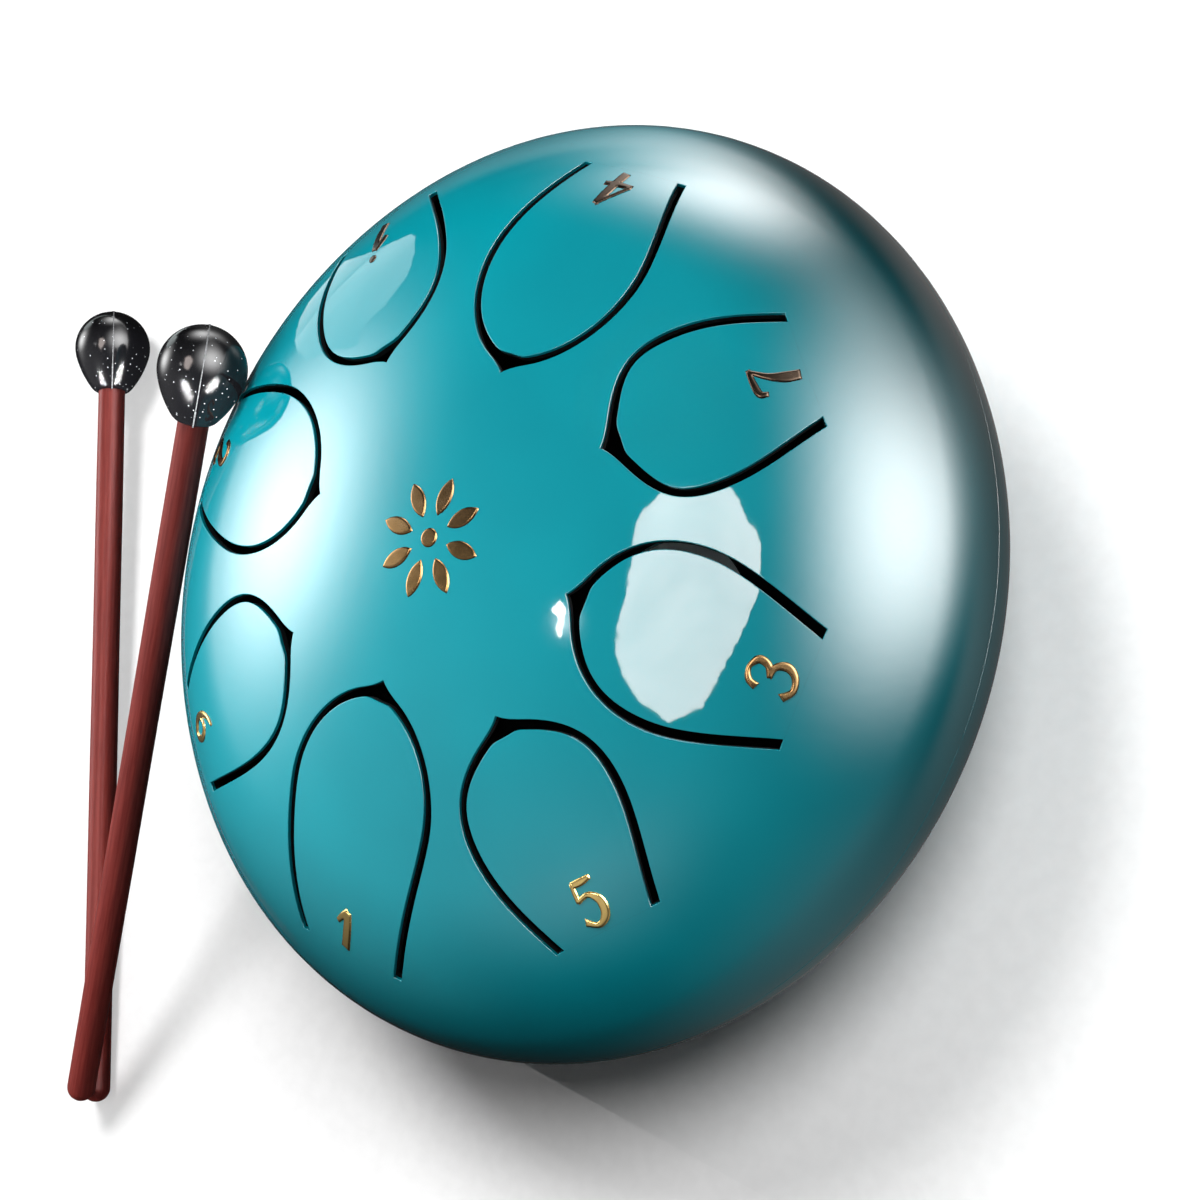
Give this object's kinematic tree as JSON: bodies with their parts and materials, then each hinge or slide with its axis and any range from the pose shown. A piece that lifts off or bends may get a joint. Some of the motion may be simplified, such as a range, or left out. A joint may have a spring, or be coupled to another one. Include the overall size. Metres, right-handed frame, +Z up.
{
  "type": "steel tongue drum",
  "caption": "Small round steel tongue drum with tuned tongues cut into its domed face, raised note numbers, a sound hole underneath, rubber feet and a pair of rubber-headed mallets.",
  "frame": {"origin": "on the drum's axis, in the plane that the rubber feet stand on", "axes": "+Z up out of the drum's face, -Y toward the root of the tongue with the lowest note, +X to the right of it"},
  "size_m": [0.2373, 0.2046, 0.0756],
  "materials": {
    "lacquer": "gloss",
    "lower_lacquer": "gloss",
    "foil": "satin metallic foil",
    "foot_rubber": "matte",
    "head_rubber": "glossy moulded",
    "stick_lacquer": "gloss lacquer"
  },
  "bodies": {
    "drum": {"upper_shell": "lacquer", "lower_shell": "lower_lacquer", "seam_weld": "lacquer", "centre_emblem": "foil", "foot_1": "foot_rubber", "foot_2": "foot_rubber", "foot_3": "foot_rubber"},
    "tongue_1": {"tongue_1": "lacquer", "number_1": "foil"},
    "tongue_2": {"tongue_2": "lacquer", "number_2": "foil"},
    "tongue_3": {"tongue_3": "lacquer", "number_3": "foil"},
    "tongue_4": {"tongue_4": "lacquer", "number_4": "foil"},
    "tongue_5": {"tongue_5": "lacquer", "number_5": "foil"},
    "tongue_6": {"tongue_6": "lacquer", "number_6": "foil"},
    "tongue_7": {"tongue_7": "lacquer", "number_7": "foil"},
    "tongue_high_1": {"tongue_high_1": "lacquer", "number_high_1": "foil"},
    "mallet_1": {"mallet_1_stick": "stick_lacquer", "mallet_1_head": "head_rubber"},
    "mallet_2": {"mallet_2_stick": "stick_lacquer", "mallet_2_head": "head_rubber"}
  },
  "joints": [
    {"name": "tongue_1_flex", "type": "hinge", "parent": "drum", "child": "tongue_1", "pos_m": [-0.00023, -0.0653, 0.05653], "axis": [1, -0.0035, 0], "range_deg": [-0.5, 0.5], "stiffness_Nm_per_rad": 1.2, "springref_deg": 0.1},
    {"name": "tongue_2_flex", "type": "hinge", "parent": "drum", "child": "tongue_2", "pos_m": [-0.064, 0, 0.05769], "axis": [0, -1, 0], "range_deg": [-0.5, 0.5], "stiffness_Nm_per_rad": 1.2, "springref_deg": 0.07},
    {"name": "tongue_3_flex", "type": "hinge", "parent": "drum", "child": "tongue_3", "pos_m": [0.06099, -0.00085, 0.06002], "axis": [0.014, 0.9999, 0], "range_deg": [-0.5, 0.5], "stiffness_Nm_per_rad": 1.2, "springref_deg": 0.06},
    {"name": "tongue_4_flex", "type": "hinge", "parent": "drum", "child": "tongue_4", "pos_m": [-0.001, 0.06349, 0.0581], "axis": [-0.9999, -0.0157, 0], "range_deg": [-0.5, 0.5], "stiffness_Nm_per_rad": 1.2, "springref_deg": 0.07},
    {"name": "tongue_5_flex", "type": "hinge", "parent": "drum", "child": "tongue_5", "pos_m": [0.04422, -0.04346, 0.05928], "axis": [0.7009, 0.7132, 0], "range_deg": [-0.5, 0.5], "stiffness_Nm_per_rad": 1.2, "springref_deg": 0.05},
    {"name": "tongue_6_flex", "type": "hinge", "parent": "drum", "child": "tongue_6", "pos_m": [-0.04525, -0.04525, 0.0577], "axis": [0.7071, -0.7071, 0], "range_deg": [-0.5, 0.5], "stiffness_Nm_per_rad": 1.2, "springref_deg": 0.05},
    {"name": "tongue_7_flex", "type": "hinge", "parent": "drum", "child": "tongue_7", "pos_m": [0.0428, 0.04205, 0.06066], "axis": [-0.7009, 0.7132, 0], "range_deg": [-0.5, 0.5], "stiffness_Nm_per_rad": 1.2, "springref_deg": 0.04},
    {"name": "tongue_high_1_flex", "type": "hinge", "parent": "drum", "child": "tongue_high_1", "pos_m": [-0.04676, 0.04515, 0.05681], "axis": [-0.6947, -0.7193, 0], "range_deg": [-0.5, 0.5], "stiffness_Nm_per_rad": 1.2, "springref_deg": 0.05},
    {"name": "mallet_1_pull", "type": "slide", "parent": "drum", "child": "mallet_1", "axis": [-1, 0, 0], "range_m": [0, 0.08]},
    {"name": "mallet_2_lift", "type": "slide", "parent": "drum", "child": "mallet_2", "axis": [-0.5, 0, 0.866], "range_m": [0, 0.12]}
  ]
}
